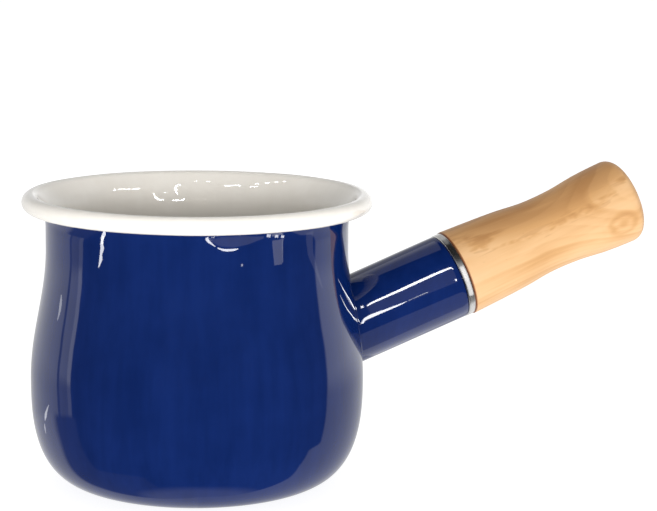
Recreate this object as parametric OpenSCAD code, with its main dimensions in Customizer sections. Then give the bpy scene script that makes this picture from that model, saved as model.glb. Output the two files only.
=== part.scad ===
// Wax melting pot: a small deep-drawn steel pot, enamelled white inside and
// navy blue outside, with a welded handle socket, a stainless ferrule and a
// turned wooden grip that screws onto the socket.
// Millimetres. Z up, the pot's axis is Z, the base stands on z = 0, and the
// handle leans up and away towards +X in the XZ plane.

/* [Pot] */
// Outside radius of the straight neck
neck_r = 51; // [48:0.5:52]
// Outside radius at the widest part of the belly
belly_r = 56.5; // [55:0.5:60]
// Height of the widest part of the belly
belly_z = 36; // [32:0.5:40]
// Height where the shoulder has run out into the straight neck
neck_z = 81; // [78:0.5:84]
// Radius of the flat part of the underside
base_r = 33; // [30:0.5:38]
// Roundness of the lower corner, where 2 is an ellipse and more is squarer
corner_power = 2.65; // [2.2:0.05:3.2]
// Depth of the shallow recess in the middle of the underside
recess_h = 0.6; // [0.2:0.1:1.0]

/* [Rim] */
// Radius of the circle through the middle of the rolled rim
rim_r = 56; // [55:0.5:58]
// Height of the middle of the rolled rim
rim_z = 96.5; // [95:0.5:98]
// Radius of the rolled rim's section, enamel included
bead_r = 3.0; // [2.8:0.1:3.2]

/* [Sheet and enamel] */
// Thickness of the drawn steel
steel_t = 0.8; // [0.7:0.05:0.9]
// Thickness of each enamel coat
enamel_t = 0.3; // [0.2:0.05:0.4]

/* [Handle socket] */
// Height at which the handle's axis would cross the pot's axis
axis_z = 31.5; // [30:0.5:34]
// Upward lean of the handle above level, in degrees
tilt = 20.85; // [19:0.05:22]
// Outside radius of the socket at the pot wall
socket_foot_r = 14.8; // [14.4:0.1:15]
// Outside radius of the socket at its mouth
socket_mouth_r = 15.1; // [15:0.1:15.4]
// Distance from the pot's axis to the mouth of the socket, along the handle
mouth_s = 97.5; // [95:0.5:99]
// Wall of the socket tube
tube_t = 1.2; // [1.0:0.1:1.3]
// Width of the weld bead round the foot of the socket
weld_w = 0.8; // [0.6:0.1:1.2]

/* [Handle] */
// Width of the bright ferrule
ferrule_w = 2.8; // [2.4:0.1:3.2]
// Outside radius of the ferrule
ferrule_r = 15.25; // [15.2:0.05:15.4]
// Length of the grip from the ferrule to its tip
grip_l = 69.8; // [66:0.2:74]
// Radius of the spigot turned on the end of the grip
tenon_r = 13.1; // [12.8:0.1:13.1]
// Rounding of the grip's tip
tip_round = 4.2; // [3.4:0.2:5]

/* [Handle screw] */
// Nominal radius of the screw
screw_r = 4; // [4:1:4]
// Length of the screw that stands out of the grip's spigot
screw_out = 15; // [14:0.5:16]

/* [Hidden] */
$fn = 96;

gap = 0.02;                                   // between fused layers
wall_t = 2 * enamel_t + steel_t + 2 * gap;    // navy surface to white surface
flare_z = 88;                                 // top of the straight neck
curl_start = 150;                             // where the flare meets the roll
curl_end = -145;                              // where the rolled edge stops

// ---- the pot's section: points of the outer surface with outward normals ----
function unit(v) = v / norm(v);
function mix(a, b, t) = a + (b - a) * t;
function ease(t) = (1 - cos(180 * t)) / 2;

// underside: recessed middle, then the flat ring that the pot stands on
under = concat([[0, recess_h], [recess_r0(), recess_h]],
               [for (k = [1 : 5]) [mix(recess_r0(), recess_r1(), k / 5),
                                   recess_h * (1 - ease(k / 5))]]);
function recess_r0() = base_r - 9;
function recess_r1() = base_r - 5;

// rounded lower corner up to the widest part, as a superellipse
corner = [for (k = [0 : 18]) let (t = 90 - 5 * k)
          [base_r + (belly_r - base_r) * pow(max(cos(t), 0), 2 / corner_power),
           belly_z - belly_z * pow(max(sin(t), 0), 2 / corner_power)]];

// shoulder, drawn in gently to the neck
shoulder = [for (k = [1 : 14]) [belly_r - (belly_r - neck_r) * ease(k / 14),
                                mix(belly_z, neck_z, k / 14)]];

outside = concat(under, corner, shoulder, [[neck_r, flare_z]]);
n_wall = len(outside);

function outward(i) =
    let (a = outside[max(i - 1, 0)], b = outside[min(i + 1, n_wall - 1)],
         d = unit(b - a))
    i == 0 ? [0, -1] : i == n_wall - 1 ? [1, 0] : [d[1], -d[0]];

// flare of the mouth, a curve from the neck into the roll, on the white side
roll_c = [rim_r, rim_z];
f0 = [neck_r - wall_t, flare_z];
f1 = [neck_r - wall_t, flare_z + 5];
f3 = roll_c + bead_r * [cos(curl_start), sin(curl_start)];
f2 = f3 - 4 * [sin(curl_start), -cos(curl_start)];
n_flare = 8;
function flare_at(t) = pow(1 - t, 3) * f0 + 3 * pow(1 - t, 2) * t * f1
                     + 3 * (1 - t) * t * t * f2 + pow(t, 3) * f3;
function flare_dir(t) = unit(pow(1 - t, 2) * (f1 - f0)
                     + 2 * (1 - t) * t * (f2 - f1) + t * t * (f3 - f2));

n_roll = 20;
function roll_angle(k) = mix(curl_start, curl_end, k / n_roll);

// every section point as [outer surface, outward normal]
section = concat(
    [for (i = [0 : n_wall - 1]) [outside[i], outward(i)]],
    [for (k = [1 : n_flare]) let (t = k / n_flare, d = flare_dir(t),
        n = [d[1], -d[0]]) [flare_at(t) + wall_t * n, n]],
    [for (k = [1 : n_roll]) let (a = roll_angle(k), n = -[cos(a), sin(a)])
        [roll_c - bead_r * n + wall_t * n, n]]);
n_all = len(section);
n_navy = n_wall + 6;      // the navy coat stops in the groove under the roll

// a point of the section at depth d under the navy surface
function at(i, d) = section[i][0] - d * section[i][1];

// a layer of the wall between two depths, from the middle out to point i1
module layer(d0, d1, i1)
    rotate_extrude($fn = 128)
        polygon(concat([for (i = [0 : i1]) at(i, d0)],
                       [for (i = [i1 : -1 : 0]) at(i, d1)]));

// the inside of the pot up to depth d, over the height the socket meets
i_lo = 7 + 8;
i_hi = n_wall - 2;
module wall_fill(d)
    rotate_extrude($fn = 128)
        polygon(concat([[0, at(i_lo, d)[1]]],
                       [for (i = [i_lo : i_hi]) at(i, d)],
                       [[0, at(i_hi, d)[1]]]));

// ---- the handle's axis: local Z runs out along the handle ----
module on_axis() translate([0, 0, axis_z]) rotate([0, 90 - tilt, 0]) children();

function socket_r(s) = mix(socket_foot_r, socket_mouth_r, (s - 50) / (mouth_s - 50));
module taper(d, s0, s1)
    translate([0, 0, s0])
        cylinder(h = s1 - s0, r1 = socket_r(s0) - d, r2 = socket_r(s1) - d);
module round_bar(r, s0, s1) translate([0, 0, s0]) cylinder(h = s1 - s0, r = r);
module turned(points) rotate_extrude() polygon(points);

tube_d = enamel_t + gap;                  // enamel over the tube
bore_d = tube_d + tube_t;                 // the tube's bore
weld_r = socket_foot_r - enamel_t + weld_w + 0.3;
weld_h = 1.0;
s_foot = 30;                              // well inside the pot wall

// ---- sub-parts of the pot ----
module steel_vessel()
    color([0.45, 0.46, 0.48]) layer(enamel_t + gap, enamel_t + gap + steel_t, n_all - 1);

module outer_enamel()
    color([0.03, 0.09, 0.32])
        difference() {
            layer(0, enamel_t, n_navy);
            on_axis() round_bar(weld_r + gap, s_foot, 75);
        }

module inner_enamel()
    color([0.93, 0.92, 0.88]) layer(wall_t - enamel_t, wall_t, n_all - 1);

// ---- handle socket, welded to the pot and enamelled with it ----
module socket_tube()
    color([0.45, 0.46, 0.48])
        difference() {
            on_axis() difference() {
                taper(tube_d, s_foot, mouth_s - enamel_t - gap);
                taper(bore_d, s_foot - 1, mouth_s + 1);
            }
            wall_fill(enamel_t);
        }

module socket_weld()
    color([0.40, 0.41, 0.43])
        difference() {
            intersection() {
                on_axis() round_bar(weld_r, s_foot, 75);
                wall_fill(-weld_h);
            }
            on_axis() taper(enamel_t, s_foot - 1, 76);
            wall_fill(enamel_t);
        }

module socket_enamel()
    color([0.03, 0.09, 0.32])
        difference() {
            union() {
                on_axis() taper(0, s_foot, mouth_s);
                intersection() {
                    on_axis() round_bar(weld_r + enamel_t + gap, s_foot, 75);
                    wall_fill(-weld_h - enamel_t - gap);
                }
            }
            on_axis() taper(enamel_t, s_foot - 1, mouth_s - enamel_t);
            on_axis() taper(bore_d, s_foot - 1, mouth_s + 1);
            intersection() {
                on_axis() round_bar(weld_r + gap, s_foot - 1, 76);
                wall_fill(-weld_h - gap);
            }
            wall_fill(-gap);
        }

// pressed cup welded into the socket, which carries the nut
bridge_s = 86;
bridge_t = 1.5;
module socket_bridge()
    color([0.62, 0.63, 0.65])
        on_axis() turned([
            [screw_r + 0.4, bridge_s], [socket_r(86) - bore_d - 1.3, bridge_s],
            [socket_r(80) - bore_d - 1.3, 80], [socket_r(80) - bore_d - gap, 80],
            [socket_r(86.5) - bore_d - gap, 86.5],
            [socket_r(86.5) - bore_d - gap - 1, bridge_s + bridge_t],
            [screw_r + 0.4, bridge_s + bridge_t]]);

nut_h = 6.5;
module weld_nut()
    color([0.55, 0.56, 0.58])
        on_axis() difference() {
            translate([0, 0, bridge_s - gap - nut_h]) cylinder(h = nut_h, r = 7.5, $fn = 6);
            round_bar(screw_r + 0.05, bridge_s - nut_h - 1, bridge_s + 1);
        }

// ---- ferrule: a stainless ring with an inner flange ----
face_gap = 0.1;
ferrule_s0 = mouth_s + face_gap;
grip_s0 = mouth_s + ferrule_w;
ferrule_s1 = grip_s0 - face_gap;
band_t = 0.8;
module ferrule()
    color([0.78, 0.79, 0.80])
        on_axis() turned(concat(
            [[tenon_r + face_gap, ferrule_s0], [ferrule_r - 0.35, ferrule_s0]],
            [for (a = [-60 : 30 : 0]) [ferrule_r - 0.35 + 0.35 * cos(a),
                                       ferrule_s0 + 0.35 + 0.35 * sin(a)]],
            [for (a = [0 : 30 : 60]) [ferrule_r - 0.35 + 0.35 * cos(a),
                                      ferrule_s1 - 0.35 + 0.35 * sin(a)]],
            [[ferrule_r - 0.35, ferrule_s1], [ferrule_r - band_t, ferrule_s1],
             [ferrule_r - band_t, ferrule_s0 + band_t],
             [tenon_r + face_gap, ferrule_s0 + band_t]]));

// ---- grip: turned wood with a spigot, a waist and a rounded tip ----
tenon_s = 89;
tip_s = grip_s0 + grip_l;
grip = [15.5, 15.1, 14.5, 13.5, 13.7, 14.9, 15.4];   // radii at equal steps
grip_end = tip_s - tip_round;
function knot(i) = grip[min(max(i, 0), 6)];
function spline(a, b, c, d, t) = b + 0.5 * t * (c - a
    + t * (2 * a - 5 * b + 4 * c - d + t * (3 * (b - c) + d - a)));
function grip_r(u) = let (i = min(floor(u * 6), 5), t = u * 6 - i)
    spline(knot(i - 1), knot(i), knot(i + 1), knot(i + 2), t);
insert_r = 6;
insert_s1 = 115;
module wood_handle()
    color([0.86, 0.66, 0.42])
        on_axis() turned(concat(
            [[insert_r + gap, tenon_s], [tenon_r - 0.5, tenon_s],
             [tenon_r, tenon_s + 0.5], [tenon_r, ferrule_s0 + band_t + face_gap],
             [ferrule_r - band_t - face_gap, ferrule_s0 + band_t + face_gap],
             [ferrule_r - band_t - face_gap, grip_s0],
             [grip_r(0) - 0.4, grip_s0], [grip_r(0), grip_s0 + 0.4]],
            [for (k = [1 : 24]) [grip_r(k / 24), mix(grip_s0, grip_end, k / 24)]],
            [for (a = [15 : 15 : 90]) [grip_r(1) - tip_round + tip_round * cos(a),
                                       grip_end + tip_round * sin(a)]],
            [[0, tip_s], [0, insert_s1 + 1], [insert_r + gap, insert_s1 + 1]]));

module threaded_insert()
    color([0.70, 0.62, 0.38])
        on_axis() turned([
            [screw_r + gap, tenon_s - 1.2], [9, tenon_s - 1.2], [9, tenon_s - gap],
            [insert_r, tenon_s - gap], [insert_r, insert_s1], [screw_r + gap, insert_s1]]);

module handle_stud()
    color([0.66, 0.67, 0.69])
        on_axis() turned([
            [0, tenon_s - screw_out], [screw_r - 0.8, tenon_s - screw_out],
            [screw_r, tenon_s - screw_out + 0.8], [screw_r, 113.4],
            [screw_r - 0.6, 114], [0, 114]]);

steel_vessel();
outer_enamel();
inner_enamel();
socket_tube();
socket_weld();
socket_enamel();
socket_bridge();
weld_nut();
ferrule();
wood_handle();
threaded_insert();
handle_stud();
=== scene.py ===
import bpy
import bmesh
import math
import numpy as np
from mathutils import Matrix, Vector, noise


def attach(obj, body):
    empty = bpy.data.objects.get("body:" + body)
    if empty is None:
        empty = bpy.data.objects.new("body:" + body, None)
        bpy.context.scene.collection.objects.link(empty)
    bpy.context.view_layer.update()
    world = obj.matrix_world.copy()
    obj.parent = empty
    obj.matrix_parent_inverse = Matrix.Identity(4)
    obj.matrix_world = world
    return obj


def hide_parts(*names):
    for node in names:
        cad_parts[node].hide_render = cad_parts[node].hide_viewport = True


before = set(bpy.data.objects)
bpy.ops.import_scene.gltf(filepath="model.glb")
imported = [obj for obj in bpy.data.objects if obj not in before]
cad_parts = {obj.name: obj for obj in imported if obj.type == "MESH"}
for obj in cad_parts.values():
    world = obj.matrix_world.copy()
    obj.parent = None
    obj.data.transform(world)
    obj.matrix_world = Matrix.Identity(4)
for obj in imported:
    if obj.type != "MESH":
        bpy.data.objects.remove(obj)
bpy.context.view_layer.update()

MM = 0.001

# ------------------------------------------------------------------ dimensions
# The same driving dimensions as the CAD source, in millimetres.
neck_r, belly_r, belly_z, neck_z = 51.0, 56.5, 36.0, 81.0
base_r, corner_power, recess_h = 33.0, 2.65, 0.6
rim_r, rim_z, bead_r = 56.0, 96.5, 3.0
steel_t, enamel_t, gap = 0.8, 0.3, 0.02
wall_t = 2 * enamel_t + steel_t + 2 * gap
flare_z = 88.0
curl_start, curl_end = 150.0, -145.0
axis_z, tilt = 31.5, math.radians(20.85)
socket_foot_r, socket_mouth_r, mouth_s, tube_t = 14.8, 15.1, 97.5, 1.2
bore_d = enamel_t + gap + tube_t
ferrule_w, ferrule_r, grip_l, tenon_r, tip_round = 2.8, 15.25, 69.8, 13.1, 4.2
face_gap, band_t, tenon_s = 0.1, 0.8, 89.0
ferrule_s0 = mouth_s + face_gap
grip_s0 = mouth_s + ferrule_w
ferrule_s1 = grip_s0 - face_gap
tip_s = grip_s0 + grip_l
grip_end = tip_s - tip_round
insert_r, insert_s1, screw_r, screw_out, pitch = 6.0, 115.0, 4.0, 15.0, 1.25

D = np.array([math.cos(tilt), 0.0, math.sin(tilt)])      # out along the handle
A = np.array([math.sin(tilt), 0.0, -math.cos(tilt)])     # down, across the handle
B = np.array([0.0, 1.0, 0.0])
O = np.array([0.0, 0.0, axis_z])
HANDLE = Matrix(((A[0], B[0], D[0], 0), (A[1], B[1], D[1], 0), (A[2], B[2], D[2], axis_z * MM), (0, 0, 0, 1)))


def mix(a, b, t):
    return a + (b - a) * t


def ease(t):
    return (1 - math.cos(math.pi * t)) / 2


def socket_r(s):
    return mix(socket_foot_r, socket_mouth_r, (s - 50) / (mouth_s - 50))


# ------------------------------------------------------------ the pot's section
def wall_points(fine):
    """The outer surface from the middle of the underside to the top of the neck."""
    r0, r1 = base_r - 9, base_r - 5
    p = [(0.0, recess_h)]
    p += [(r0 * k / 6, recess_h) for k in range(1, 7)]
    p += [(mix(r0, r1, k / 10), recess_h * (1 - ease(k / 10))) for k in range(1, 11)]
    p += [(mix(r1, base_r, k / 3), 0.0) for k in range(1, 3)]
    n = fine
    for k in range(n + 1):
        t = math.radians(90 * (1 - k / n))
        c, s = max(math.cos(t), 0.0), max(math.sin(t), 0.0)
        p.append((base_r + (belly_r - base_r) * c ** (2 / corner_power),
                  belly_z - belly_z * s ** (2 / corner_power)))
    m = fine
    p += [(belly_r - (belly_r - neck_r) * ease(k / m), mix(belly_z, neck_z, k / m))
          for k in range(1, m + 1)]
    p += [(neck_r, mix(neck_z, flare_z, k / 4)) for k in range(1, 5)]
    return np.array(p)


def even(points, step):
    """Points a fixed distance apart along the same line, ends kept."""
    d = np.r_[0, np.cumsum(np.hypot(*np.diff(points, axis=0).T))]
    n = max(int(round(d[-1] / step)), 2)
    s = np.linspace(0, d[-1], n + 1)
    return np.c_[np.interp(s, d, points[:, 0]), np.interp(s, d, points[:, 1])]


def normals(points):
    d = np.gradient(points, axis=0)
    d /= np.linalg.norm(d, axis=1)[:, None] + 1e-12
    return np.c_[d[:, 1], -d[:, 0]]


wall = even(wall_points(160), 1.15)
wall_n = normals(wall)
wall_n[0], wall_n[-1] = (0, -1), (1, 0)
n_wall = len(wall)

c0 = np.array([rim_r, rim_z])
f0, f1 = np.array([neck_r - wall_t, flare_z]), np.array([neck_r - wall_t, flare_z + 5])
a0 = math.radians(curl_start)
f3 = c0 + bead_r * np.array([math.cos(a0), math.sin(a0)])
f2 = f3 - 4 * np.array([math.sin(a0), -math.cos(a0)])
flare, flare_n = [], []
for k in range(1, 15):
    t = k / 14
    q = (1 - t) ** 3 * f0 + 3 * (1 - t) ** 2 * t * f1 + 3 * (1 - t) * t * t * f2 + t ** 3 * f3
    d = (1 - t) ** 2 * (f1 - f0) + 2 * (1 - t) * t * (f2 - f1) + t * t * (f3 - f2)
    d = d / np.linalg.norm(d)
    n = np.array([d[1], -d[0]])
    flare.append(q + wall_t * n)
    flare_n.append(n)
roll, roll_n = [], []
for k in range(1, 45):
    a = math.radians(mix(curl_start, curl_end, k / 44))
    n = -np.array([math.cos(a), math.sin(a)])
    roll.append(c0 - bead_r * n + wall_t * n)
    roll_n.append(n)
sec = np.vstack([wall, flare, roll])
sec_n = np.vstack([wall_n, flare_n, roll_n])


def at(i, d):
    return sec[i] - d * sec_n[i]


def wall_radius(z):
    """Radius of the navy surface at a height, for heights over the lower corner."""
    keep = wall[:, 1] > 2
    return np.interp(z, wall[keep, 1], wall[keep, 0])


# ------------------------------------------------------------------ mesh makers
def make_object(name, verts, faces, matrix=None):
    me = bpy.data.meshes.new(name)
    if matrix is not None:
        verts = [matrix @ Vector(v) for v in verts]
    me.from_pydata([tuple(v) for v in verts], [], faces)
    me.validate()
    bm = bmesh.new()
    bm.from_mesh(me)
    bmesh.ops.recalc_face_normals(bm, faces=bm.faces)
    bm.to_mesh(me)
    bm.free()
    me.polygons.foreach_set("use_smooth", [True] * len(me.polygons))
    ob = bpy.data.objects.new(name, me)
    bpy.context.scene.collection.objects.link(ob)
    me.update()
    return ob


def lathe(name, path, seg, shift=None, closed=False, matrix=None):
    """A surface turned about local Z from (radius, height) points in mm.
    shift(theta, i, r, z) -> (dr, dz) in mm moves a point for small hand-made unevenness."""
    th = np.linspace(0, 2 * math.pi, seg, endpoint=False)
    ct, st = np.cos(th), np.sin(th)
    verts, rings = [], []
    for i, (r, z) in enumerate(path):
        if r < 1e-6:
            rings.append([len(verts)])
            verts.append((0, 0, z * MM))
            continue
        first = len(verts)
        for j in range(seg):
            rr, zz = r, z
            if shift is not None:
                dr, dz = shift(th[j], i, r, z)
                rr, zz = r + dr, z + dz
            verts.append((rr * ct[j] * MM, rr * st[j] * MM, zz * MM))
        rings.append(list(range(first, first + seg)))
    faces = []
    pairs = list(zip(rings[:-1], rings[1:]))
    if closed:
        pairs.append((rings[-1], rings[0]))
    for a, b in pairs:
        if len(a) == 1 and len(b) == 1:
            continue
        if len(a) == 1:
            faces += [(a[0], b[(j + 1) % seg], b[j]) for j in range(seg)]
        elif len(b) == 1:
            faces += [(a[j], a[(j + 1) % seg], b[0]) for j in range(seg)]
        else:
            faces += [(a[j], a[(j + 1) % seg], b[(j + 1) % seg], b[j]) for j in range(seg)]
    return make_object(name, verts, faces, matrix)


def wave(p, size, seed=0.0):
    """Smooth noise of about +-1 over lengths of size, in mm."""
    return noise.noise(Vector((p[0] / size + seed, p[1] / size - seed, p[2] / size + 2 * seed)))


# ------------------------------------------------------------------ shader tools
class Graph:
    """Short names for building node trees."""

    def __init__(self, tree):
        self.t = tree
        self.x = 0

    def node(self, kind, **props):
        n = self.t.nodes.new(kind)
        self.x += 40
        n.location = (self.x, -self.x % 600)
        for k, v in props.items():
            setattr(n, k, v)
        return n

    def put(self, sock, v):
        if isinstance(v, bpy.types.NodeSocket):
            self.t.links.new(v, sock)
        else:
            sock.default_value = v

    def math(self, op, a, b=None, c=None, clamp=False):
        n = self.node("ShaderNodeMath", operation=op, use_clamp=clamp)
        for i, v in enumerate((a, b, c)):
            if v is not None:
                self.put(n.inputs[i], v)
        return n.outputs[0]

    def dot(self, v, w):
        n = self.node("ShaderNodeVectorMath", operation="DOT_PRODUCT")
        self.put(n.inputs[0], v)
        self.put(n.inputs[1], w)
        return n.outputs["Value"]

    def noise(self, vec, scale, detail=2.0, rough=0.5, distort=0.0):
        n = self.node("ShaderNodeTexNoise")
        self.put(n.inputs["Vector"], vec)
        n.inputs["Scale"].default_value = scale
        n.inputs["Detail"].default_value = detail
        n.inputs["Roughness"].default_value = rough
        n.inputs["Distortion"].default_value = distort
        return n.outputs["Fac"]

    def ramp(self, fac, stops, mode="LINEAR"):
        n = self.node("ShaderNodeValToRGB")
        n.color_ramp.interpolation = mode
        e = n.color_ramp.elements
        while len(e) < len(stops):
            e.new(0.5)
        for el, (pos, col) in zip(e, stops):
            el.position = pos
            el.color = (*col, 1) if len(col) == 3 else col
        self.put(n.inputs[0], fac)
        return n.outputs["Color"]

    def mixc(self, fac, a, b, mode="MIX"):
        n = self.node("ShaderNodeMix", data_type="RGBA", blend_type=mode)
        self.put(n.inputs["Factor"], fac)
        self.put(n.inputs[6], a if isinstance(a, bpy.types.NodeSocket) else (*a, 1))
        self.put(n.inputs[7], b if isinstance(b, bpy.types.NodeSocket) else (*b, 1))
        return n.outputs[2]

    def smooth(self, x, lo, hi):
        """0 below lo, 1 above hi, soft between."""
        n = self.node("ShaderNodeMapRange", interpolation_type="SMOOTHSTEP")
        self.put(n.inputs["Value"], x)
        n.inputs["From Min"].default_value = lo
        n.inputs["From Max"].default_value = hi
        return n.outputs["Result"]

    def bump(self, height, distance, strength=1.0, normal=None):
        n = self.node("ShaderNodeBump")
        n.inputs["Strength"].default_value = strength
        n.inputs["Distance"].default_value = distance
        self.put(n.inputs["Height"], height)
        if normal is not None:
            self.put(n.inputs["Normal"], normal)
        return n.outputs["Normal"]


def material(name):
    m = bpy.data.materials.new(name)
    m.use_nodes = True
    m.node_tree.nodes.clear()
    g = Graph(m.node_tree)
    out = g.node("ShaderNodeOutputMaterial")
    bsdf = g.node("ShaderNodeBsdfPrincipled")
    m.node_tree.links.new(bsdf.outputs[0], out.inputs[0])
    return m, g, bsdf


def scaled(g, vec, s):
    n = g.node("ShaderNodeMapping")
    g.put(n.inputs["Vector"], vec)
    n.inputs["Scale"].default_value = s
    return n.outputs[0]


def coords(g):
    return g.node("ShaderNodeTexCoord").outputs["Object"]


def handle_coords(g):
    """Object coordinates with Z along the handle's axis."""
    n = g.node("ShaderNodeMapping", vector_type="TEXTURE")
    g.put(n.inputs["Vector"], coords(g))
    n.inputs["Location"].default_value = (0, 0, axis_z * MM)
    n.inputs["Rotation"].default_value = HANDLE.to_euler()
    return n.outputs[0]


def enamel(name, colour, deep, speck, rough, wave_mm):
    """Vitreous enamel: a coloured glass surface with a faint orange peel, fine pinholes and uneven depth of colour."""
    m, g, b = material(name)
    p = coords(g)
    cloud = g.noise(p, 55.0, 3.0, 0.55)
    fine = g.noise(p, 900.0, 2.0, 0.6)
    runs = g.noise(scaled(g, p, (210.0, 210.0, 22.0)), 1.0, 3.0, 0.6)
    tone = g.math("ADD", g.math("MULTIPLY", cloud, 0.5), g.math("MULTIPLY", runs, 0.5))
    col = g.ramp(tone, [(0.36, deep), (0.62, colour)])
    dots = g.node("ShaderNodeTexVoronoi", feature="F1")
    g.put(dots.inputs["Vector"], p)
    dots.inputs["Scale"].default_value = 620.0
    mask = g.smooth(dots.outputs["Distance"], 0.09, 0.05)
    rare = g.smooth(dots.outputs["Color"], 0.90, 0.93)
    mask = g.math("MULTIPLY", mask, rare)
    col = g.mixc(g.math("MULTIPLY", mask, 0.6), col, speck)
    g.put(b.inputs["Base Color"], col)
    r = g.math("MULTIPLY_ADD", fine, 0.03, rough)
    g.put(b.inputs["Roughness"], r)
    b.inputs["IOR"].default_value = 1.5
    peel = g.noise(p, 240.0, 2.0, 0.5)
    wide = g.noise(scaled(g, p, (1.0, 1.0, 0.8)), 90.0, 1.0, 0.5)
    n1 = g.bump(wide, wave_mm * 6.0 * MM)
    n2 = g.bump(peel, wave_mm * 0.12 * MM, 1.0, n1)
    n3 = g.bump(g.math("MULTIPLY", mask, -1.0), 0.02 * MM, 1.0, n2)
    g.put(b.inputs["Normal"], n3)
    return m


navy = enamel("navy_enamel", (0.0036, 0.0180, 0.116), (0.0016, 0.0128, 0.090), (0.02, 0.03, 0.10), 0.030, 0.007)
white = enamel("white_enamel", (0.88, 0.85, 0.795), (0.85, 0.815, 0.755), (0.30, 0.27, 0.22), 0.045, 0.008)


def wood_material():
    """Pale, close-grained turned wood: soft lengthwise tone, a few growth lines, one figured patch near the tip."""
    m, g, b = material("turned_wood")
    p = handle_coords(g)
    sep = g.node("ShaderNodeSeparateXYZ")
    g.put(sep.inputs[0], p)
    x, y, z = sep.outputs
    # growth rings round a pith outside the turning; the grain runs out of the surface near the tip
    slow = g.noise(scaled(g, p, (30.0, 30.0, 11.0)), 1.0, 2.0, 0.5)
    wander = g.math("MULTIPLY_ADD", slow, 0.016, -0.008)
    dx = g.math("ADD", g.math("ADD", x, -0.019), wander)
    dy = g.math("SUBTRACT", 0.020, y)
    lean = g.math("MULTIPLY", g.math("POWER", g.math("MAXIMUM", g.math("SUBTRACT", z, 0.112), 0.0), 1.5), 0.62)
    rad = g.math("SQRT", g.math("ADD", g.math("MULTIPLY", dx, dx), g.math("MULTIPLY", dy, dy)))
    rad = g.math("ADD", rad, lean)
    wide = g.math("FRACT", g.math("MULTIPLY", rad, 1 / 0.0068))
    late = g.math("MULTIPLY", g.math("POWER", wide, 3.2), g.smooth(wide, 1.0, 0.88))
    fine = g.math("FRACT", g.math("MULTIPLY", rad, 1 / 0.0017))
    fine = g.math("MULTIPLY", g.math("POWER", fine, 2.0), g.smooth(fine, 1.0, 0.85))
    fib = g.noise(scaled(g, p, (1500.0, 1500.0, 42.0)), 1.0, 3.0, 0.6)
    fib2 = g.noise(scaled(g, p, (330.0, 330.0, 13.0)), 1.0, 3.0, 0.55)
    patch = g.noise(scaled(g, p, (75.0, 75.0, 26.0)), 1.0, 2.0, 0.5)
    tone = g.math("MULTIPLY_ADD", late, 0.15, g.math("MULTIPLY_ADD", fib2, 0.31, g.math("MULTIPLY", patch, 0.60)))
    tone = g.math("MULTIPLY_ADD", fine, 0.06, tone)
    # heartwood along the upper side, with a ragged edge
    zc = g.math("SUBTRACT", z, 0.137)
    off = g.math("ADD", g.math("MULTIPLY_ADD", g.math("MULTIPLY", zc, zc), 6.0, 0.0043), x)
    ragged = g.math("MULTIPLY_ADD", g.math("SUBTRACT", fib2, 0.5), 0.009, g.math("MULTIPLY_ADD", g.math("SUBTRACT", patch, 0.5), 0.009, off))
    heart = g.smooth(ragged, 0.0014, -0.0060)
    tone = g.math("MULTIPLY_ADD", heart, 0.265, tone)
    # a darker seam where the heartwood ends
    seam = g.math("MULTIPLY", g.smooth(ragged, -0.0024, -0.0006), g.smooth(ragged, 0.0018, 0.0002))
    seam = g.math("MULTIPLY", seam, g.smooth(g.noise(scaled(g, p, (160.0, 160.0, 75.0)), 1.0, 3.0, 0.6), 0.40, 0.60))
    tone = g.math("MULTIPLY_ADD", seam, 0.20, tone)
    # a figured patch low down near the tip
    fx = g.math("DIVIDE", g.math("SUBTRACT", x, 0.0040), 0.0062)
    fy = g.math("DIVIDE", g.math("ADD", y, 0.0138), 0.0085)
    fz = g.math("DIVIDE", g.math("SUBTRACT", z, 0.1605), 0.0085)
    fd = g.math("SQRT", g.math("ADD", g.math("MULTIPLY", fx, fx), g.math("ADD", g.math("MULTIPLY", fy, fy), g.math("MULTIPLY", fz, fz))))
    fd = g.math("ADD", fd, g.math("MULTIPLY", g.math("SUBTRACT", patch, 0.5), 1.1))
    fd = g.math("ADD", fd, g.math("MULTIPLY", g.math("SUBTRACT", fib2, 0.5), 0.5))
    eye = g.math("MULTIPLY", g.smooth(fd, 1.15, 0.55), g.math("MULTIPLY_ADD", g.math("SINE", g.math("MULTIPLY", fd, 13.0)), 0.35, 0.65))
    tone = g.math("MULTIPLY_ADD", eye, 0.15, tone)
    col = g.ramp(tone, [(0.28, (0.88, 0.575, 0.320)), (0.48, (0.83, 0.510, 0.250)), (0.64, (0.70, 0.385, 0.155)), (0.86, (0.52, 0.255, 0.088))])
    # a few short brown streaks
    st = g.noise(scaled(g, p, (520.0, 520.0, 60.0)), 1.0, 2.0, 0.5, 0.4)
    stm = g.math("MULTIPLY", g.smooth(st, 0.56, 0.64), g.math("MULTIPLY", g.smooth(ragged, 0.0060, 0.0020), g.smooth(ragged, -0.0050, -0.0015)))
    col = g.mixc(g.math("MULTIPLY", stm, 0.30), col, (0.52, 0.25, 0.085))
    # ray flecks
    fl = g.node("ShaderNodeTexVoronoi", feature="F1")
    g.put(fl.inputs["Vector"], scaled(g, p, (1300.0, 1300.0, 330.0)))
    fl.inputs["Scale"].default_value = 1.0
    flm = g.smooth(fl.outputs["Distance"], 0.22, 0.08)
    flr = g.smooth(fl.outputs["Color"], 0.84, 0.90)
    flm = g.math("MULTIPLY", flm, flr)
    col = g.mixc(g.math("MULTIPLY", flm, 0.22), col, (0.42, 0.19, 0.06))
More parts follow.
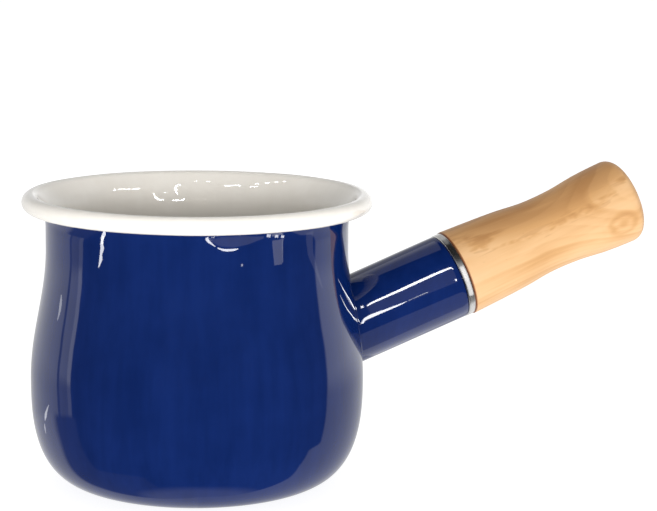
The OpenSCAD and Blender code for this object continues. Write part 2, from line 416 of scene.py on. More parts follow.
    # darker at the ferrule shoulder where the wood meets the band; painted shade on the rounded tip, and the flat end
    # a little darker still
    e0 = g.math("MULTIPLY", g.smooth(z, (grip_s0 + 0.62) * MM, (grip_s0 + 0.10) * MM), g.smooth(z, (grip_s0 - 0.15) * MM, (grip_s0 - 0.02) * MM))
    # painted shade: the last few millimetres of the rounded tip are darkened towards brown
    painted_tip_shade = g.smooth(z, (tip_s - 2.9) * MM, (tip_s - 0.8) * MM)
    e2 = g.smooth(z, (tip_s - 0.30) * MM, (tip_s - 0.06) * MM)
    col = g.mixc(g.math("MULTIPLY", e0, 0.85), col, (0.25, 0.060, 0.020))
    # painted shade on the rounded tip
    col = g.mixc(g.math("MULTIPLY", painted_tip_shade, 0.42), col, (0.42, 0.19, 0.06))
    col = g.mixc(g.math("MULTIPLY", e2, 0.25), col, (0.42, 0.19, 0.06))
    g.put(b.inputs["Base Color"], col)
    g.put(b.inputs["Roughness"], g.math("MULTIPLY_ADD", fib, 0.16, 0.38))
    b.inputs["IOR"].default_value = 1.46
    b.inputs["Coat Weight"].default_value = 0.10
    b.inputs["Coat Roughness"].default_value = 0.30
    n1 = g.bump(fib2, 0.05 * MM)
    n2 = g.bump(fib, 0.018 * MM, 1.0, n1)
    n3 = g.bump(g.math("MULTIPLY", flm, -1.0), 0.02 * MM, 1.0, n2)
    g.put(b.inputs["Normal"], n3)
    return m


def metal(name, colour, rough, streak, streak_scale, spot=0.0, along_handle=True):
    """Metal with turning or brushing lines: streak_scale stretches the noise along one way."""
    m, g, b = material(name)
    p = handle_coords(g) if along_handle else coords(g)
    lines = g.noise(scaled(g, p, streak_scale), 1.0, 3.0, 0.6)
    cloud = g.noise(p, 160.0, 3.0, 0.6)
    dark = tuple(c * (1 - spot) for c in colour)
    g.put(b.inputs["Base Color"], g.ramp(cloud, [(0.35, dark), (0.65, colour)]))
    b.inputs["Metallic"].default_value = 1.0
    r = g.math("MULTIPLY_ADD", lines, streak, rough - streak / 2)
    r = g.math("ADD", r, g.math("MULTIPLY", cloud, 0.05))
    g.put(b.inputs["Roughness"], r)
    n = g.bump(lines, 0.008 * MM)
    g.put(b.inputs["Normal"], n)
    return m


wood = wood_material()
stainless = metal("polished_stainless", (0.78, 0.77, 0.755), 0.22, 0.16, (300.0, 300.0, 5200.0), 0.08)
zinc = metal("zinc_plate", (0.66, 0.67, 0.69), 0.30, 0.10, (700.0, 700.0, 700.0), 0.16)
brassy = metal("passivated_plate", (0.72, 0.62, 0.36), 0.30, 0.12, (700.0, 700.0, 700.0), 0.18)
raw = metal("drawn_steel", (0.46, 0.46, 0.47), 0.42, 0.12, (300.0, 300.0, 2600.0), 0.25, False)


def dress(node, mat):
    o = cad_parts[node]
    o.data.materials.clear()
    o.data.materials.append(mat)


# ------------------------------------------------------------------- the pot
SEG = 360


def coat_shift(normal_of, amount, keep=None):
    """Slow unevenness of a fired coat, along the surface's normal."""

    def shift(th, i, r, z):
        n = normal_of(i)
        if n is None:
            return 0.0, sag(th, z)
        p = (r * math.cos(th), r * math.sin(th), z)
        w = 0.045 * wave(p, 30.0, 3.1) + 0.020 * wave(p, 13.0, 7.7) + 0.007 * wave(p, 6.0, 1.3)
        w *= amount(i, r, z) * min(r / 8.0, 1.0)
        return w * n[0], w * n[1] + sag(th, z)

    return shift


FRONT = math.radians(-90 - 14.71)          # where the rim sits lowest


def sag(th, z):
    """The rim is not quite level: it hangs about half a millimetre lower on one side."""
    k = min(max((z - 80.0) / 12.5, 0.0), 1.0)
    k = k * k * (3 - 2 * k)
    return -0.55 * k * ((1 + math.cos(th - FRONT)) / 2) ** 2


# navy coat: outer surface, back along its hidden face
n_navy = n_wall + 11
navy_out = np.array([at(i, 0) for i in range(n_navy + 1)])
navy_in = np.array([at(i, enamel_t) for i in range(n_navy, -1, -2)])
if navy_in[-1][0] > 1e-6:
    navy_in = np.vstack([navy_in, at(0, enamel_t)])
navy_path = np.vstack([navy_out, navy_in])
stand = lambda i, r, z: 0.0 if z < 0.8 else min((z - 0.8) / 6.0, 1.0)
navy_pot = lathe("navy_coat", navy_path, SEG,
                 coat_shift(lambda i: sec_n[i] if i <= n_navy else None, stand))
navy_pot.data.materials.append(navy)
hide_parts("outer_enamel")
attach(navy_pot, "pot")

# white lining, over the rolled rim and under it
n_all = len(sec) - 1
white_out = np.array([at(i, wall_t) for i in range(n_all + 1)])
white_in = np.array([at(i, wall_t - enamel_t) for i in range(n_all, -1, -2)])
if white_in[-1][0] > 1e-6:
    white_in = np.vstack([white_in, at(0, wall_t - enamel_t)])
white_path = np.vstack([white_out, white_in])


def lining_shift(th, i, r, z):
    if i > n_all:
        return 0.0, sag(th, z)
    n = -sec_n[i]
    p = (r * math.cos(th), r * math.sin(th), z)
    w = 0.045 * wave(p, 28.0, 5.1) + 0.022 * wave(p, 12.0, 2.7) + 0.006 * wave(p, 5.0, 9.3)
    if i >= n_wall:
        # the roll is a little uneven: it only ever stands in from its full size
        f = min((i - n_wall) / 14.0, 1.0)
        edge = min((n_all - i) / 8.0, 1.0)
        w = w * (1 - f) + f * edge * (-0.08 + 0.08 * wave(p, 18.0, 4.4) + 0.02 * wave(p, 7.0, 8.8))
    w *= min(r / 8.0, 1.0)
    return w * n[0], w * n[1] + sag(th, z)


lining = lathe("white_coat", white_path, SEG, lining_shift)
lining.data.materials.append(white)
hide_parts("inner_enamel")
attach(lining, "pot")


# the drawn steel between the coats, with its edge rolled in under the rim
n_curl = len(sec) - 1
steel_out = np.array([at(i, enamel_t + gap) for i in range(n_curl + 1)])
steel_in = np.array([at(i, enamel_t + gap + steel_t) for i in range(n_curl, -1, -1)])
vessel = lathe("drawn_vessel", np.vstack([steel_out, steel_in]), 240, lambda th, i, r, z: (0.0, sag(th, z)))
vessel.data.materials.append(raw)
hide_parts("steel_vessel")
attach(vessel, "pot")


# ---------------------------------------------------------------- the socket
def wall_s(phi, rho):
    """Distance along the handle's axis at which a line rho off it, at angle phi, leaves the navy surface."""
    off = O + rho * (math.cos(phi) * A + math.sin(phi) * B)
    lo, hi = 20.0, 80.0
    for _ in range(44):
        s = (lo + hi) / 2
        q = off + s * D
        if math.hypot(q[0], q[1]) < wall_radius(q[2]):
            lo = s
        else:
            hi = s
    return (lo + hi) / 2


def socket_mesh():
    nphi = 208
    rows, beads = [], []
    fil = 0.55
    for k in range(nphi):
        phi = 2 * math.pi * k / nphi
        rb_m = socket_r(mouth_s) - bore_d
        prof = []
        # mouth: rounded lip from the bore to the outside
        lip = 0.42
        prof.append((rb_m, mouth_s - 6.0))
        prof.append((rb_m, mouth_s - 1.2))
        mid = rb_m + lip
        for a in (180, 150, 120, 90):
            prof.append((mid + lip * math.cos(math.radians(a)), mouth_s - lip + lip * math.sin(math.radians(a))))
        ro = socket_r(mouth_s) - lip
        for a in (90, 65, 40, 20, 0):
            prof.append((ro + lip * math.cos(math.radians(a)), mouth_s - lip + lip * math.sin(math.radians(a))))
        r_w = socket_r(60)
        s_w = wall_s(phi, r_w)
        s_top = s_w + fil * 1.15
        for t in np.linspace(0, 1, 30)[1:]:
            s = mix(mouth_s - 1.0, s_top, t)
            prof.append((socket_r(s), s))
        # weld fillet under the enamel, tangent to both
        p0 = np.array([socket_r(s_top), s_top])
        p1 = np.array([socket_r(s_w), s_w])
        rf = p1[0] + fil * 1.1
        p2 = np.array([rf, wall_s(phi, rf) - 0.03])
        for t in np.linspace(0, 1, 12)[1:]:
            q = (1 - t) ** 2 * p0 + 2 * (1 - t) * t * p1 + t * t * p2
            prof.append((q[0], q[1]))
        # under the foot and back up the hidden inside
        r_t = p1[0] - enamel_t
        r_b, s_b = r_t + 0.32, wall_s(phi, r_t + 0.32)
        prof.append((rf, p2[1] - 0.10))
        prof.append((r_b + 0.02, s_b - 0.05))
        prof.append((r_t, s_w + 0.42))
        beads.append([(r_t - 0.02, s_w + 0.40), (r_b, s_b - 0.07), (r_b, s_b - 0.30),
                      (r_t - 0.02, wall_s(phi, r_t - 0.02) - 0.30)])
        prof.append((socket_r(s_w + 6) - enamel_t, s_w + 6))
        prof.append((socket_r(mouth_s) - enamel_t, mouth_s - 6.2))
        rows.append(prof)
    verts = []
    m = len(rows[0])
    for k, prof in enumerate(rows):
        phi = 2 * math.pi * k / nphi
        e = math.cos(phi) * A + math.sin(phi) * B
        for j, (rho, s) in enumerate(prof):
            p = O + s * D + rho * e
            if 10 <= j <= 40:
                w = 0.026 * wave(p, 15.0, 6.2) + 0.010 * wave(p, 6.0, 2.2)
                p = p + e * w
            verts.append(p * MM)
    faces = []
    for k in range(nphi):
        a, b = k * m, ((k + 1) % nphi) * m
        for j in range(m):
            jj = (j + 1) % m
            faces.append((a + j, a + jj, b + jj, b + j))
    bead_v, bead_f = [], []
    for k, row in enumerate(beads):
        phi = 2 * math.pi * k / nphi
        e = math.cos(phi) * A + math.sin(phi) * B
        bead_v += [(O + s * D + rho * e) * MM for rho, s in row]
        a, b = 4 * k, 4 * ((k + 1) % nphi)
        bead_f += [(a + j, a + (j + 1) % 4, b + (j + 1) % 4, b + j) for j in range(4)]
    return make_object("socket_coat", verts, faces), make_object("weld_bead", bead_v, bead_f)


sock, bead = socket_mesh()
bead.data.materials.append(raw)
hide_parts("socket_weld")
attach(bead, "pot")
sock.data.materials.append(navy)
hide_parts("socket_enamel")
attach(sock, "pot")

# ------------------------------------------------- handle pieces, turned about the handle axis
def arc(c, r, a0, a1, n):
    return [(c[0] + r * math.cos(math.radians(a)), c[1] + r * math.sin(math.radians(a)))
            for a in np.linspace(a0, a1, n)]


# ferrule: a thin stainless band with an inner flange and burnished edges
fr = 0.38
ring = [(tenon_r + face_gap, ferrule_s0 + 0.12), (tenon_r + face_gap + 0.12, ferrule_s0)]
ring += arc((ferrule_r - fr, ferrule_s0 + fr), fr, -90, 0, 8)
ring += [(ferrule_r + 0.0, mix(ferrule_s0, ferrule_s1, t)) for t in (0.3, 0.5, 0.7)]
ring += arc((ferrule_r - fr, ferrule_s1 - fr), fr, 0, 90, 8)
ring += [(ferrule_r - band_t, ferrule_s1), (ferrule_r - band_t, ferrule_s0 + band_t + 0.15),
         (ferrule_r - band_t - 0.15, ferrule_s0 + band_t), (tenon_r + face_gap, ferrule_s0 + band_t)]
collar = lathe("ferrule_ring", ring, 240, closed=True, matrix=HANDLE)
collar.data.materials.append(stainless)
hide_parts("ferrule")
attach(collar, "collar")

# grip: the turned profile as a smooth curve through its stations
stations = [15.5, 15.1, 14.5, 13.5, 13.7, 14.9, 15.4]


def grip_r(u):
    i = min(int(u * 6), 5)
    t = u * 6 - i
    a, b, c, d = (stations[min(max(i + k, 0), 6)] for k in (-1, 0, 1, 2))
    return b + 0.5 * t * (c - a + t * (2 * a - 5 * b + 4 * c - d + t * (3 * (b - c) + d - a)))


slim = 0.03
gp = [(insert_r + gap, tenon_s), (tenon_r - 0.5, tenon_s), (tenon_r - 0.14, tenon_s + 0.14), (tenon_r, tenon_s + 0.5)]
gp += [(tenon_r, mix(tenon_s + 0.5, ferrule_s0 + band_t + face_gap, t)) for t in (0.33, 0.66, 1.0)]
gp += [(ferrule_r - band_t - face_gap, ferrule_s0 + band_t + face_gap), (ferrule_r - band_t - face_gap, grip_s0)]
gp += arc((grip_r(0) - 0.45 - slim, grip_s0 + 0.45), 0.45, -90, -8, 7)
gp += [(grip_r(u) - slim, mix(grip_s0, grip_end, u)) for u in np.linspace(0.012, 1, 90)]
gp += [(grip_r(1) - tip_round - slim + (tip_round - 0.02) * math.cos(math.radians(a)),
        grip_end + (tip_round - 0.04) * math.sin(math.radians(a))) for a in np.linspace(6, 90, 16)]
gp += [(r, tip_s - 0.04) for r in (9.0, 6.0, 3.0)]
gp += [(0, tip_s - 0.04), (0, insert_s1 + 1), (insert_r + gap, insert_s1 + 1)]
n_gp = len(gp)


def grip_shift(th, i, r, z):
    if z < grip_s0 + 1 or r < 8 or i > n_gp - 4:
        return 0.0, 0.0
    f = min((z - grip_s0 - 1) / 4.0, 1.0)
    p = (r * math.cos(th), r * math.sin(th), z)
    return f * (0.05 * wave(p, 24.0, 1.7) - 0.035), 0.0


grip = lathe("wood_grip", gp, 260, grip_shift, closed=True, matrix=HANDLE)
grip.data.materials.append(wood)
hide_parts("wood_handle")
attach(grip, "grip")


# screw: a real right-hand thread on the length that stands out of the wood
def screw():
    seg, per = 72, 14
    s0, s1 = tenon_s - screw_out, tenon_s + 6.0
    depth = 0.77
    zs = list(np.arange(s0, s1, pitch / per)) + [s1]
    rows = [[(0.0, s0)]]
    for z in zs:
        row = []
        for j in range(seg):
            th = 2 * math.pi * j / seg
            ph = (z / pitch - th / (2 * math.pi)) % 1.0
            tri = abs(ph - 0.5) * 2          # 1 at the root ends, 0 at the crest
            h = min(max((tri - 0.12) / 0.66, 0.0), 1.0)
            r = screw_r - 0.02 - depth * h
            lead = min(max((z - s0) / 1.6, 0.0), 1.0)
            tail = min(max((s1 - z) / 1.2, 0.0), 1.0)
            r = min(r, mix(screw_r - 1.0, screw_r, lead))
            r = mix(screw_r - depth, r, tail) if z > s1 - 1.2 else r
            row.append((r, z, th))
        rows.append(row)
    verts, rings = [], []
    verts.append((0, 0, s0 * MM))
    rings.append([0])
    for row in rows[1:]:
        first = len(verts)
        for r, z, th in row:
            verts.append((r * math.cos(th) * MM, r * math.sin(th) * MM, z * MM))
        rings.append(list(range(first, first + seg)))
    for r, z in ((screw_r - 0.05, s1 + 0.8), (screw_r - 0.05, 113.4), (screw_r - 0.6, 114.0)):
        first = len(verts)
        for j in range(seg):
            th = 2 * math.pi * j / seg
            verts.append((r * math.cos(th) * MM, r * math.sin(th) * MM, z * MM))
        rings.append(list(range(first, first + seg)))
    rings.append([len(verts)])
    verts.append((0, 0, 114.0 * MM))
    faces = []
    for a, b in zip(rings[:-1], rings[1:]):
        if len(a) == 1:
            faces += [(a[0], b[(j + 1) % seg], b[j]) for j in range(seg)]
        elif len(b) == 1:
            faces += [(a[j], a[(j + 1) % seg], b[0]) for j in range(seg)]
        else:
            faces += [(a[j], a[(j + 1) % seg], b[(j + 1) % seg], b[j]) for j in range(seg)]
    return make_object("handle_screw", verts, faces, HANDLE)


stud = screw()
stud.data.materials.append(zinc)
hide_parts("handle_stud")
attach(stud, "grip")

for node, mat in (("socket_tube", raw), ("socket_bridge", zinc),
                  ("weld_nut", zinc), ("threaded_insert", brassy)):
    dress(node, mat)

# ---------------------------------------------------------------- the stage
AZ = math.radians(14.71)
RT = Vector((math.cos(AZ), -math.sin(AZ), 0))      # image right
FW = Vector((math.sin(AZ), math.cos(AZ), 0))       # away from the camera
UP = Vector((0, 0, 1))


def stage_mesh(name, corners, mat):
    me = bpy.data.meshes.new(name)
    me.from_pydata([tuple(c) for c in corners], [], [tuple(range(len(corners)))])
    ob = bpy.data.objects.new(name, me)
    bpy.context.scene.collection.objects.link(ob)
    me.materials.append(mat)
    return ob


m_floor, g, b = material("studio_floor")
fl = g.noise(coords(g), 3.0, 2.0, 0.5)
g.put(b.inputs["Base Color"], g.ramp(fl, [(0.3, (0.49, 0.49, 0.49)), (0.7, (0.51, 0.51, 0.51))]))
b.inputs["Roughness"].default_value = 0.8
b.inputs["Specular IOR Level"].default_value = 0.2
b.inputs["Emission Color"].default_value = (1, 1, 1, 1)
b.inputs["Emission Strength"].default_value = 0.88
out = next(n for n in m_floor.node_tree.nodes if n.type == "OUTPUT_MATERIAL")
clear, back, two = g.node("ShaderNodeBsdfTransparent"), g.node("ShaderNodeNewGeometry"), g.node("ShaderNodeMixShader")
g.put(two.inputs[0], back.outputs["Backfacing"])
m_floor.node_tree.links.new(b.outputs[0], two.inputs[1])
m_floor.node_tree.links.new(clear.outputs[0], two.inputs[2])
m_floor.node_tree.links.new(two.outputs[0], out.inputs[0])
floor_r = 14.0
floor = stage_mesh("studio_floor", [(floor_r * math.cos(t), floor_r * math.sin(t), -0.00008)
                                    for t in np.linspace(0, 2 * math.pi, 64, endpoint=False)], m_floor)
floor.visible_glossy = False


def glow(name, strength, one_side=False):
    m = bpy.data.materials.new(name)
    m.use_nodes = True
    m.node_tree.nodes.clear()
    gg = Graph(m.node_tree)
    out = gg.node("ShaderNodeOutputMaterial")
    em = gg.node("ShaderNodeEmission")
    em.inputs["Strength"].default_value = strength
    em.inputs["Color"].default_value = (1, 1, 1, 1)
    if one_side:
        back = gg.node("ShaderNodeNewGeometry").outputs["Backfacing"]
        gg.put(em.inputs["Strength"], gg.math("MULTIPLY_ADD", back, -strength, strength))
    clear = gg.node("ShaderNodeBsdfTransparent")
    add = gg.node("ShaderNodeAddShader")
    m.node_tree.links.new(em.outputs[0], add.inputs[0])
    m.node_tree.links.new(clear.outputs[0], add.inputs[1])
    m.node_tree.links.new(add.outputs[0], out.inputs[0])
    return m


def reflected_only(ob, receivers):
    """A lit card that is seen only as a reflection, and only in the named pieces."""
    ob.visible_camera = False
    ob.visible_diffuse = False
    ob.visible_shadow = False
    ob.visible_transmission = False
    c = bpy.data.collections.new(ob.name + "_on")
    for r in receivers:
        c.objects.link(r)
    ob.light_linking.receiver_collection = c


def tw(v):
    return RT * v[0] + FW * v[1] + UP * v[2]


# white paper on the table under the handle, seen in the socket's underside
reflected_only(stage_mesh("paper_right", [tw(v) for v in ((0.080, -0.108, 0.0004), (0.192, -0.080, 0.0004), (0.192, 0.075, 0.0004), (0.080, 0.075, 0.0004))],
                          glow("paper_right", 0.55)), [sock])
# a pale wall in front, which the satin ferrule picks up
reflected_only(stage_mesh("wall_front", [tw(v) for v in ((-0.6, -0.9, -0.05), (0.9, -0.9, -0.05), (0.9, -0.9, 0.9), (-0.6, -0.9, 0.9))],
                          glow("wall_front", 0.28)), [collar])


# ---------------------------------------------------------------- light
world = bpy.data.worlds.new("studio")
bpy.context.scene.world = world
world.use_nodes = True
world.node_tree.nodes.clear()
g = Graph(world.node_tree)
out = g.node("ShaderNodeOutputWorld")
vec = g.node("ShaderNodeTexCoord").outputs["Generated"]
dr = g.dot(vec, tuple(RT))
df = g.dot(vec, tuple(FW))
du = g.dot(vec, tuple(UP))
az = g.math("MULTIPLY", g.math("ARCTAN2", dr, g.math("MULTIPLY", df, -1.0)), 180 / math.pi)
el = g.math("MULTIPLY", g.math("ARCSINE", du), 180 / math.pi)


def band(x, lo, hi, soft):
    return g.math("MULTIPLY", g.smooth(x, lo - soft / 2, lo + soft / 2), g.smooth(x, hi + soft / 2, hi - soft / 2))


def lerp(a, b, t):
    return g.math("ADD", g.math("MULTIPLY", t, g.math("SUBTRACT", b, a)), a)


# right: one broad white side, brighter at eye level than on the table
edge_r = g.math("ADD", 99.0, g.math("MULTIPLY", g.smooth(el, -24.0, -29.0), -9.5))
edge_r = g.math("ADD", edge_r, g.math("MULTIPLY", g.smooth(el, -38.0, -50.0), 5.0))
on_r = g.smooth(g.math("SUBTRACT", az, edge_r), -1.2, 1.6)
side_r = g.math("MULTIPLY", on_r, lerp(0.92, 1.58, g.smooth(el, -13.0, -4.0)))
# left: a bright edge, a slat, a dark joint and a broad white side, over a dim lower part
rim_l = g.math("MULTIPLY", band(az, -99.3, -95.3, 1.0), lerp(0.95, 1.85, g.smooth(el, -9.0, -6.0)))
slat_l = g.math("MULTIPLY", band(az, -108.2, -99.3, 1.2), lerp(0.58, 1.12, g.smooth(el, -10.0, -4.5)))
joint_l = g.math("MULTIPLY", band(az, -110.8, -108.2, 1.0), 0.30)
wide_l = g.math("MULTIPLY", g.smooth(az, -110.3, -111.3), lerp(0.92, 1.12, g.smooth(el, -12.0, -5.0)))
upper_l = g.math("ADD", g.math("ADD", rim_l, slat_l), g.math("ADD", joint_l, wide_l))
edge_b = g.math("ADD", -115.0, g.math("MULTIPLY", g.smooth(el, -22.0, -46.0), -15.0))
lower_l = g.math("MULTIPLY", g.smooth(g.math("SUBTRACT", az, edge_b), 6.0, -6.0), 1.02)
edge_d = g.math("ADD", -91.0, g.math("MULTIPLY", g.smooth(el, -40.0, -52.0), 42.0))
dim = g.math("MULTIPLY", g.smooth(g.math("SUBTRACT", az, edge_d), 3.0, -3.0), 0.22)
lower_l = g.math("MAXIMUM", lower_l, dim)
side_l = lerp(lower_l, upper_l, g.smooth(el, -16.2, -14.8))
surround = g.math("MAXIMUM", side_r, side_l)
roof = g.math("SUBTRACT", 1.0, g.math("ADD", g.math("MULTIPLY", g.smooth(el, 8.0, 24.0), 0.45), g.math("MULTIPLY", g.smooth(el, 45.0, 62.0), 0.55)))
surround = g.math("MULTIPLY", surround, roof)
deep = g.math("MULTIPLY", g.smooth(el, -60.0, -76.0), 0.78)          # paper right under the pot
env = g.math("MAXIMUM", surround, deep)
env = g.math("MAXIMUM", env, lerp(0.10, 0.02, g.smooth(el, 35.0, 60.0)))
bg_gloss = g.node("ShaderNodeBackground")
g.put(bg_gloss.inputs["Strength"], env)
bg_soft = g.node("ShaderNodeBackground")
bg_soft.inputs["Color"].default_value = (1, 1, 1, 1)
g.put(bg_soft.inputs["Strength"], lerp(0.66, 0.26, g.smooth(el, 8.0, 42.0)))
bg_cam = g.node("ShaderNodeBackground")
bg_cam.inputs["Color"].default_value = (1, 1, 1, 1)
bg_cam.inputs["Strength"].default_value = 0.98
lp = g.node("ShaderNodeLightPath")
m1 = g.node("ShaderNodeMixShader")
g.put(m1.inputs[0], lp.outputs["Is Glossy Ray"])
world.node_tree.links.new(bg_soft.outputs[0], m1.inputs[1])
world.node_tree.links.new(bg_gloss.outputs[0], m1.inputs[2])
m2 = g.node("ShaderNodeMixShader")
g.put(m2.inputs[0], lp.outputs["Is Camera Ray"])
world.node_tree.links.new(m1.outputs[0], m2.inputs[1])
world.node_tree.links.new(bg_cam.outputs[0], m2.inputs[2])
world.node_tree.links.new(m2.outputs[0], out.inputs[0])


def area(name, pos, aim, size, power, size_y=None):
    d = bpy.data.lights.new(name, "AREA")
    d.energy = power
    d.size = size
    if size_y:
        d.shape = "RECTANGLE"
        d.size_y = size_y
    o = bpy.data.objects.new(name, d)
    bpy.context.scene.collection.objects.link(o)
    p = RT * pos[0] + FW * pos[1] + UP * pos[2]
    q = RT * aim[0] + FW * aim[1] + UP * aim[2]
    o.location = p
    o.rotation_euler = (q - p).to_track_quat("-Z", "Y").to_euler()
    o.visible_glossy = False
    o.visible_camera = False
    return o


area("front", (0.15, -1.25, 0.17), (0.04, 0, 0.05), 1.6, 10.5, 0.30)
inner = area("front_lining", (0.06, -1.19, 0.205), (0.0, 0.0, 0.0995), 0.9, 4.1, 0.13)
inner.data.color = (1.0, 0.962, 0.905)
c = bpy.data.collections.new("front_lining_on")
c.objects.link(lining)
inner.light_linking.receiver_collection = c
area("top", (0.10, 0.10, 1.30), (0.03, 0, 0.05), 1.2, 3.0)

# ---------------------------------------------------------------- camera
PITCH = math.radians(9.43)
F_PX, W_PX = 2200.0, 657.0
dist = F_PX * 0.339 * MM
aim = Vector((0, 0, 0.07748))
fwd = (FW * math.cos(PITCH) - UP * math.sin(PITCH)).normalized()
up = (FW * math.sin(PITCH) + UP * math.cos(PITCH)).normalized()
pos = aim - fwd * dist
yaw = math.atan(131.9 / F_PX) - 1.07 / F_PX
look = (RT * math.sin(yaw) + fwd * math.cos(yaw)).normalized()
right = (RT * math.cos(yaw) - fwd * math.sin(yaw)).normalized()
cd = bpy.data.cameras.new("camera")
cd.sensor_fit = "HORIZONTAL"
cd.sensor_width = 36.0
cd.lens = 36.0 * F_PX / W_PX
cd.clip_start, cd.clip_end = 0.01, 100
cam = bpy.data.objects.new("camera", cd)
bpy.context.scene.collection.objects.link(cam)
rot = Matrix((tuple(right), tuple(up), tuple(-look))).transposed()
cam.matrix_world = Matrix.Translation(pos) @ rot.to_4x4()
bpy.context.scene.camera = cam

# ------------------------------------------------------- small studio lights
# Strips and cards set close to the enamel, each placed where its reflection falls on the named part of a surface.
up_to = n_wall + 12
low = int(np.argmax(sec[:, 1] > 1.0))
out_z, out_r = sec[low:up_to, 1], sec[low:up_to, 0]
inn = np.array([at(i, wall_t) for i in range(n_wall - 14, n_wall + 22)])
out_s, inn_s = np.gradient(out_r, out_z), np.gradient(inn[:, 0], inn[:, 1])


def on_wall(u, z):
    """u is the angle round the pot from the camera's side, in degrees; z the height in mm."""
    t = math.radians(u)
    e = RT * math.sin(t) - FW * math.cos(t)
    th = math.atan2(e.y, e.x)
    h = z
    for _ in range(6):
        h = z - sag(th, h)
    steep = 1 + (sag(th, h + 0.1) - sag(th, h - 0.1)) / 0.2
    r, sl = np.interp(h, out_z, out_r), np.interp(h, out_z, out_s) / steep
    return (e * r + UP * z) * MM, (e - UP * sl).normalized()


def on_lining(u, z):
    r, sl = np.interp(z, inn[:, 1], inn[:, 0]), np.interp(z, inn[:, 1], inn_s)
    t = math.radians(u)
    e = RT * math.sin(t) - FW * math.cos(t)
    return (e * r + UP * z) * MM, -(e - UP * sl).normalized()


def on_socket(s, beta):
    t = math.radians(beta)
    e = Vector(A) * math.cos(t) + Vector(B) * math.sin(t)
    return (Vector(O) + Vector(D) * s + e * socket_r(s)) * MM, e


def glint(name, where, line, widths, strength, away, receiver, scale=(0.89, 1.0)):
    """A lit ribbon whose reflection runs along line on a surface. scale turns line's units into mm."""
    pts = np.array(line, float) * np.array(scale)
    ws = np.array(widths, float)
    d = np.r_[0, np.cumsum(np.hypot(*np.diff(pts, axis=0).T))]
    t = np.linspace(0, d[-1], max(int(d[-1] / 0.5), 2 * len(pts)))
    c = np.c_[np.interp(t, d, pts[:, 0]), np.interp(t, d, pts[:, 1])]
    w = np.interp(t, d, ws) / 2
    for _ in range(2):
        c[1:-1] = (c[:-2] + 2 * c[1:-1] + c[2:]) / 4
    tan = np.gradient(c, axis=0)
    tan /= np.linalg.norm(tan, axis=1)[:, None] + 1e-9
    side = np.c_[-tan[:, 1], tan[:, 0]]
    verts, feet = [], []
    for k in range(len(c)):
        for sgn in (-1, 1):
            q = (c[k] + sgn * side[k] * w[k]) / np.array(scale)
            p, n = where(q[0], q[1])
            v = (p - pos).normalized()
            m = v - 2 * v.dot(n) * n
            verts.append(p + m * away * MM)
            feet.append(p)
    faces = []
    for k in range(len(c) - 1):
        f = (2 * k, 2 * k + 1, 2 * k + 3, 2 * k + 2)
        turn = (verts[f[1]] - verts[f[0]]).cross(verts[f[3]] - verts[f[0]])
        faces.append(f if turn.dot(feet[f[0]] - verts[f[0]]) > 0 else f[::-1])
    me = bpy.data.meshes.new(name)
    me.from_pydata([tuple(v) for v in verts], [], faces)
    ob = bpy.data.objects.new(name, me)
    bpy.context.scene.collection.objects.link(ob)
    me.materials.append(glow(name, strength, True))
    reflected_only(ob, [receiver])


sk = (1.0, 0.261)
glint("socket_strip_1", on_socket, [(62.6, -115.6), (64.2, -116.8), (77.4, -116.9), (91.1, -117.3), (95.2, -116.6), (97.0, -113.6)],
      [0.5, 0.55, 0.85, 0.75, 0.5, 0.35], 30, 22, sock, sk)
glint("socket_strip_2", on_socket, [(58.6, -96.5), (59.2, -100.4), (62.0, -101.4), (67.0, -100.6), (73.0, -99.6), (76.0, -99.8)],
      [0.35, 0.8, 1.15, 0.8, 0.5, 0.1], 24, 20, sock, sk)
glint("socket_strip_3", on_socket, [(76.5, -99.8), (84.0, -99.6)], [0.12, 0.22], 12, 20, sock, sk)
glint("socket_sky", on_socket, [(60.0, -160.0), (96.0, -158.0)], [4.5, 6.0], 0.5, 30, sock, sk)
glint("socket_haze", on_socket, [(62.0, -107.5), (96.0, -106.5)], [4.0, 5.5], 0.45, 30, sock, sk)
glint("socket_dot_1", on_socket, [(94.6, -99.6), (95.7, -98.4)], [0.8, 0.8], 26, 20, sock, sk)
glint("socket_dot_2", on_socket, [(60.3, -117.2), (61.2, -116.8)], [0.75, 0.75], 26, 20, sock, sk)
glint("ferrule_patch", on_socket, [(98.8, -112.0), (98.8, -70.0)], [2.0, 2.6], 1.15, 7, collar, sk)
glint("ferrule_top", on_socket, [(98.8, -165.0), (98.8, -150.0)], [2.4, 2.0], 0.2, 7, collar, sk)
glint("ferrule_low", on_socket, [(98.8, -68.0), (98.8, -20.0)], [2.4, 2.4], 0.2, 7, collar, sk)
glint("neck_streak", on_wall, [(-38.3, 80.2), (-37.1, 83.2), (-37.3, 84.6), (-36.4, 86.6), (-36.9, 88.2), (-35.7, 90.6)],
      [0.3, 1.3, 0.9, 1.5, 1.1, 0.5], 15, 8, navy_pot)
glint("neck_patch", on_wall, [(4.4, 91.4), (8.0, 90.4), (13.0, 90.1), (18.0, 90.5), (24.0, 91.4)], [0.5, 3.0, 3.5, 2.6, 0.6], 0.75, 4, navy_pot)
glint("neck_arc_1", on_wall, [(3.1, 92.0), (3.7, 90.9), (5.1, 89.6), (6.2, 88.9)], [1.0, 0.9, 0.45, 0.2], 20, 4, navy_pot)
glint("neck_arc_2", on_wall, [(7.0, 88.4), (8.4, 87.8), (10.1, 87.5), (13.3, 87.6), (14.6, 87.9)], [0.25, 0.6, 0.8, 0.7, 0.2], 20, 4, navy_pot)
glint("neck_window", on_wall, [(29.6, 91.2), (29.9, 87.0), (30.2, 81.8)], [3.9, 3.6, 2.9], 1.75, 5, navy_pot)
glint("neck_window_edge", on_wall, [(31.9, 91.0), (32.1, 82.4)], [0.4, 0.3], 2.4, 5, navy_pot)
for k, (a, b) in enumerate(((25.0, 26.6), (28.4, 29.8), (31.0, 32.3))):
    glint("neck_dash_%d" % k, on_wall, [(a, 91.8 - 0.12 * (a - 25)), (b, 91.8 - 0.12 * (b - 25))], [0.7, 0.8], 14, 4, navy_pot)
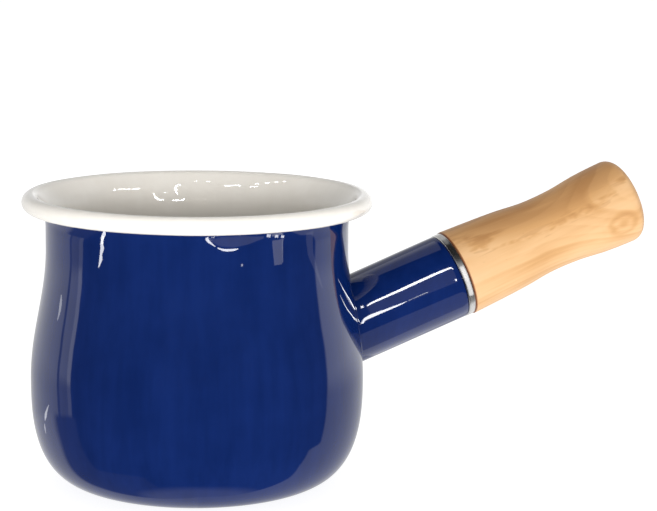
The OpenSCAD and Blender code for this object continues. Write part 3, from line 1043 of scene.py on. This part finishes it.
glint("neck_speck", on_wall, [(15.6, 82.6), (16.3, 82.6)], [0.7, 0.7], 8, 8, navy_pot)
glint("neck_haze", on_wall, [(44.5, 91.4), (45.5, 84.0), (49.0, 78.0), (52.0, 72.0)], [3.4, 2.6, 1.5, 0.4], 0.42, 5, navy_pot)
glint("shoulder_spot", on_wall, [(-58.6, 69.0), (-58.2, 66.4), (-58.1, 63.8), (-58.8, 60.6)], [0.5, 1.5, 1.3, 0.4], 2.4, 10, navy_pot)
glint("belly_spot", on_wall, [(-59.6, 32.6), (-61.2, 30.4), (-62.3, 28.4), (-63.2, 26.6)], [0.2, 0.9, 1.5, 0.3], 2.6, 10, navy_pot)
glint("belly_spot_2", on_wall, [(-63.8, 25.4), (-64.0, 23.9), (-63.7, 22.0)], [0.3, 1.1, 0.3], 1.6, 10, navy_pot)
glint("joint_arc_1", on_wall, [(64.1, 73.4), (68.0, 69.6), (71.9, 66.7), (79.3, 61.9), (82.0, 60.2)], [0.1, 0.3, 0.4, 0.35, 0.2], 5, 4, navy_pot)
glint("joint_arc_2", on_wall, [(64.4, 68.0), (67.5, 64.2), (69.7, 62.2), (78.2, 57.3)], [0.15, 0.4, 0.4, 0.2], 5, 4, navy_pot)
for k, (a, b) in enumerate(((-144.4, -145.6), (-146.6, -148.0), (-149.0, -151.6), (-152.8, -156.1))):
    glint("lining_dash_%d" % k, on_lining, [(a, 94.3 + 0.03 * (a + 144)), (b, 94.3 + 0.03 * (b + 144))], [0.22, 0.28], 50, 7, lining)
glint("lining_hook", on_lining, [(-161.3, 92.6), (-161.8, 91.2), (-162.9, 90.2), (-164.6, 89.7), (-166.0, 89.6)], [0.2, 0.42, 0.55, 0.5, 0.2], 50, 7, lining)
glint("lining_fleck", on_lining, [(-166.4, 92.2), (-167.2, 92.3)], [0.3, 0.3], 40, 7, lining)
glint("lining_curl", on_lining, [(-173.2, 95.0), (-171.6, 94.7), (-170.8, 93.9), (-171.4, 93.0), (-171.0, 92.2), (-171.9, 91.6)], [0.3, 0.5, 0.65, 0.6, 0.55, 0.25], 50, 7, lining)
glint("lining_bow", on_lining, [(-175.2, 90.3), (-174.0, 89.6), (-171.8, 89.2), (-169.6, 89.6)], [0.2, 0.45, 0.5, 0.25], 50, 7, lining)
for k, (a, b, za, zb) in enumerate(((169.0, 162.6, 94.6, 94.9), (158.6, 155.4, 94.7, 94.9), (157.0, 155.4, 95.7, 96.0), (152.5, 150.9, 96.2, 96.5),
                                    (149.0, 147.2, 96.8, 97.0), (145.4, 143.6, 97.2, 97.3), (-178.4, -179.4, 96.2, 96.2), (176.8, 175.4, 96.2, 96.1))):
    glint("lining_bar_%d" % k, on_lining, [(a, za), (b, zb)], [0.34, 0.3] if k < 2 else [0.2, 0.22], 50, 7, lining)

sc = bpy.context.scene
sc.view_settings.view_transform = "Standard"
sc.view_settings.look = "None"
sc.view_settings.exposure = 0.0
sc.view_settings.gamma = 1.0
